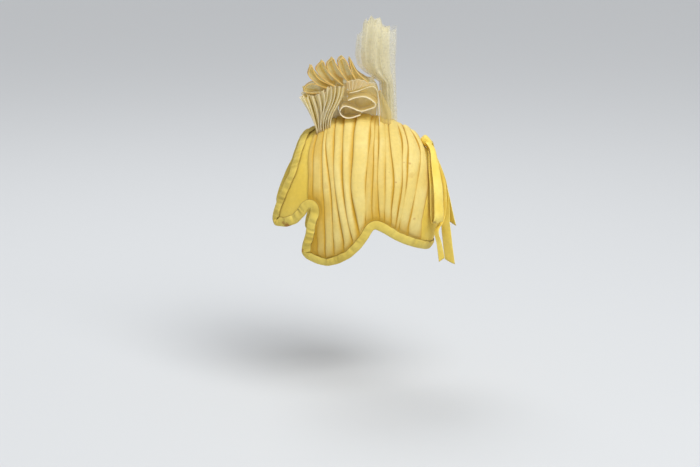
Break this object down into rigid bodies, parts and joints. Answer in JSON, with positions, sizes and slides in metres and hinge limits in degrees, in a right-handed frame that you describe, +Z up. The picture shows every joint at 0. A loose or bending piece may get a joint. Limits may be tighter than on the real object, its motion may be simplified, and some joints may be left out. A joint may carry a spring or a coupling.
{
  "type": "pleated costume hat with ribbon bow and plume",
  "caption": "Close-fitting cloth hat cut in petals, covered in ear-to-ear pleats, with a bound edge, a gathered ruffle and upright plume on top and a ribbon bow at the back.",
  "frame": {"origin": "the inside top of the crown, where the hat sits on a head", "axes": "+Z up, -Y to the front of the hat, +X to the wearer's left"},
  "size_m": [0.166, 0.2003, 0.2708],
  "materials": {
    "cap_cloth": "matt closely woven cotton, saturated yellow",
    "cover_cloth": "thin crisp cloth with a soft sheen, pale warm yellow",
    "binding_cloth": "matt bias strip, greenish yellow",
    "ruffle_cloth": "translucent gold cream organza",
    "tulle_cloth": "translucent pale cream net",
    "ribbon_satin": "satin, bright yellow"
  },
  "bodies": {
    "root": {"crown_base": "cap_cloth", "pleated_cover": "cover_cloth", "edge_binding": "binding_cloth", "ruffle_fan": "ruffle_cloth", "ruffle_scroll": "ruffle_cloth", "ruffle_back": "ruffle_cloth", "ruffle_panel": "ruffle_cloth", "ruffle_pleats": "tulle_cloth", "plume": "tulle_cloth", "bow_knot": "ribbon_satin", "bow_tail_long": "ribbon_satin", "bow_tail_wide": "ribbon_satin", "bow_tail_narrow": "ribbon_satin", "bow_loop_left": "ribbon_satin", "bow_loop_right": "ribbon_satin"}
  },
  "joints": []
}
